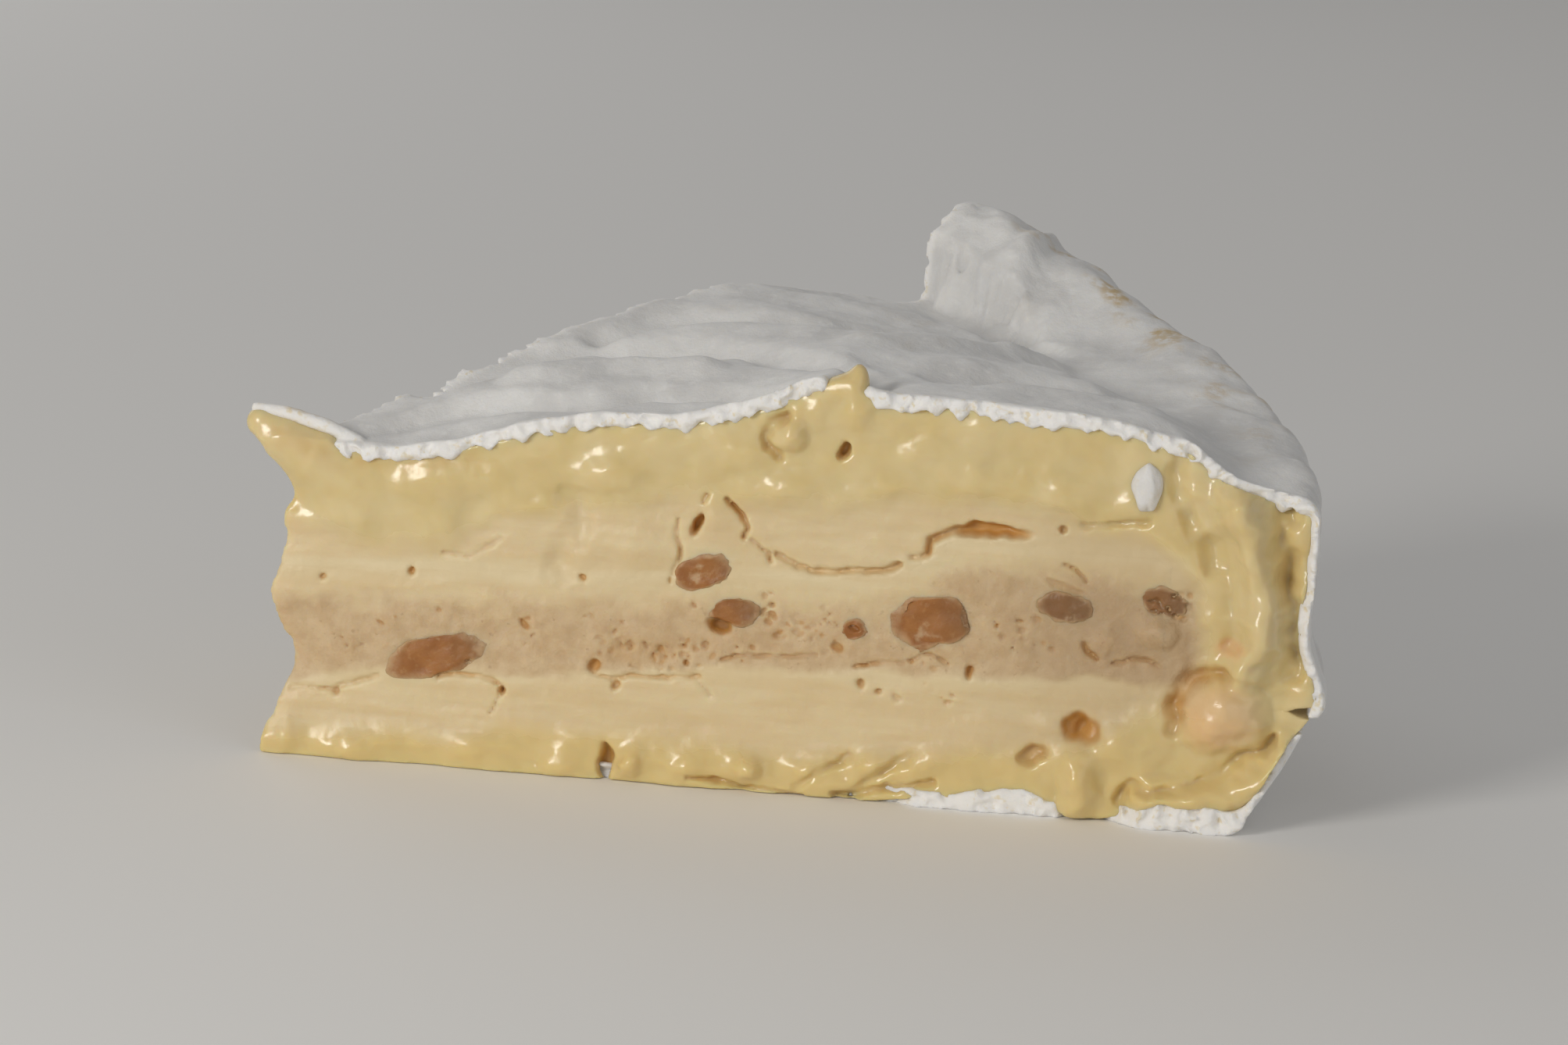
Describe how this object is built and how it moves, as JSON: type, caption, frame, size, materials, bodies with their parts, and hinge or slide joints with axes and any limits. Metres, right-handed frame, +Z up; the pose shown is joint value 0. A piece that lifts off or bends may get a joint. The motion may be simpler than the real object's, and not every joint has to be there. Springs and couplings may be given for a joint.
{
  "type": "cheese wedge",
  "caption": "Wedge of a white-rinded soft cheese split level and stuffed with a nut filling, lying on its flat lower rind.",
  "frame": {"origin": "under the middle of the wedge's bounding box, on the surface that it lies on", "axes": "+X from the tip towards the heel, along the front cut face, whose outward normal is -Y; +Z up"},
  "size_m": [0.1152, 0.086, 0.0515],
  "materials": {
    "rind": "matte",
    "paste": "satin",
    "filling": "matte",
    "nut": "satin"
  },
  "bodies": {
    "root": {"upper_rind": "rind", "upper_paste": "paste", "filling": "filling", "lower_paste": "paste", "lower_rind": "rind", "rind_crumb": "rind", "nut_front_1": "nut", "nut_front_2": "nut", "nut_front_3": "nut", "nut_front_4": "nut", "nut_front_5": "nut", "nut_front_6": "nut", "nut_front_7": "nut", "nut_back_1": "nut", "nut_back_2": "nut", "nut_back_3": "nut", "nut_back_4": "nut", "nut_back_5": "nut", "nut_back_6": "nut"}
  },
  "joints": []
}
